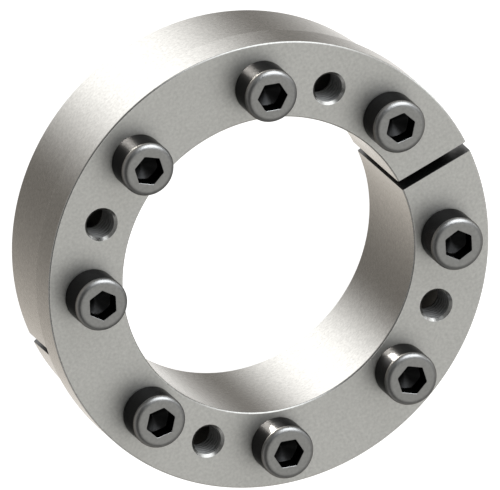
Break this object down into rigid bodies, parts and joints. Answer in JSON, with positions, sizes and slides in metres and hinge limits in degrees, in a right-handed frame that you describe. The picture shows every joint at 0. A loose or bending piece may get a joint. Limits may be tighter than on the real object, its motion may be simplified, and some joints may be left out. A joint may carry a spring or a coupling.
{
  "type": "shaft locking assembly",
  "caption": "Keyless shaft locking assembly: slit flanged inner ring and slit outer ring on a matching taper, drawn together by socket head cap screws.",
  "frame": {"origin": "on the axis at the outer ring's rear face, on which the assembly stands", "axes": "+Z along the axis towards the screw heads; +X through the slit of the flanged ring, and the outer ring's slit is at -X"},
  "size_m": [0.136, 0.136, 0.049],
  "materials": {
    "turned_steel": "satin grey steel with a fine matte grain",
    "black_oxide_steel": "black oxide, slightly oily sheen"
  },
  "bodies": {
    "outer_ring": {"outer_ring": "turned_steel"},
    "flanged_inner_ring": {"flanged_inner_ring": "turned_steel"},
    "clamp_screw_1": {"clamp_screw_1": "black_oxide_steel"},
    "clamp_screw_2": {"clamp_screw_2": "black_oxide_steel"},
    "clamp_screw_3": {"clamp_screw_3": "black_oxide_steel"},
    "clamp_screw_4": {"clamp_screw_4": "black_oxide_steel"},
    "clamp_screw_5": {"clamp_screw_5": "black_oxide_steel"},
    "clamp_screw_6": {"clamp_screw_6": "black_oxide_steel"},
    "clamp_screw_7": {"clamp_screw_7": "black_oxide_steel"},
    "clamp_screw_8": {"clamp_screw_8": "black_oxide_steel"}
  },
  "joints": [
    {"name": "draw_up", "type": "slide", "parent": "outer_ring", "child": "flanged_inner_ring", "axis": [0, 0, -1], "range_m": [-0.003, 0.0015]},
    {"name": "clamp_screw_1_turn", "type": "hinge", "parent": "flanged_inner_ring", "child": "clamp_screw_1", "pos_m": [0.05081, 0.02105, 0.039], "axis": [0, 0, -1], "range_deg": [-720, 360]},
    {"name": "clamp_screw_2_turn", "type": "hinge", "parent": "flanged_inner_ring", "child": "clamp_screw_2", "pos_m": [0.02105, 0.05081, 0.039], "axis": [0, 0, -1], "range_deg": [-720, 360]},
    {"name": "clamp_screw_3_turn", "type": "hinge", "parent": "flanged_inner_ring", "child": "clamp_screw_3", "pos_m": [-0.02105, 0.05081, 0.039], "axis": [0, 0, -1], "range_deg": [-720, 360]},
    {"name": "clamp_screw_4_turn", "type": "hinge", "parent": "flanged_inner_ring", "child": "clamp_screw_4", "pos_m": [-0.05081, 0.02105, 0.039], "axis": [0, 0, -1], "range_deg": [-720, 360]},
    {"name": "clamp_screw_5_turn", "type": "hinge", "parent": "flanged_inner_ring", "child": "clamp_screw_5", "pos_m": [-0.05081, -0.02105, 0.039], "axis": [0, 0, -1], "range_deg": [-720, 360]},
    {"name": "clamp_screw_6_turn", "type": "hinge", "parent": "flanged_inner_ring", "child": "clamp_screw_6", "pos_m": [-0.02105, -0.05081, 0.039], "axis": [0, 0, -1], "range_deg": [-720, 360]},
    {"name": "clamp_screw_7_turn", "type": "hinge", "parent": "flanged_inner_ring", "child": "clamp_screw_7", "pos_m": [0.02105, -0.05081, 0.039], "axis": [0, 0, -1], "range_deg": [-720, 360]},
    {"name": "clamp_screw_8_turn", "type": "hinge", "parent": "flanged_inner_ring", "child": "clamp_screw_8", "pos_m": [0.05081, -0.02105, 0.039], "axis": [0, 0, -1], "range_deg": [-720, 360]}
  ],
  "couplings": [
    {"joint": "clamp_screw_1_turn", "follows": "draw_up", "rad_per_m": 4188.8},
    {"joint": "clamp_screw_2_turn", "follows": "draw_up", "rad_per_m": 4188.8},
    {"joint": "clamp_screw_3_turn", "follows": "draw_up", "rad_per_m": 4188.8},
    {"joint": "clamp_screw_4_turn", "follows": "draw_up", "rad_per_m": 4188.8},
    {"joint": "clamp_screw_5_turn", "follows": "draw_up", "rad_per_m": 4188.8},
    {"joint": "clamp_screw_6_turn", "follows": "draw_up", "rad_per_m": 4188.8},
    {"joint": "clamp_screw_7_turn", "follows": "draw_up", "rad_per_m": 4188.8},
    {"joint": "clamp_screw_8_turn", "follows": "draw_up", "rad_per_m": 4188.8}
  ]
}
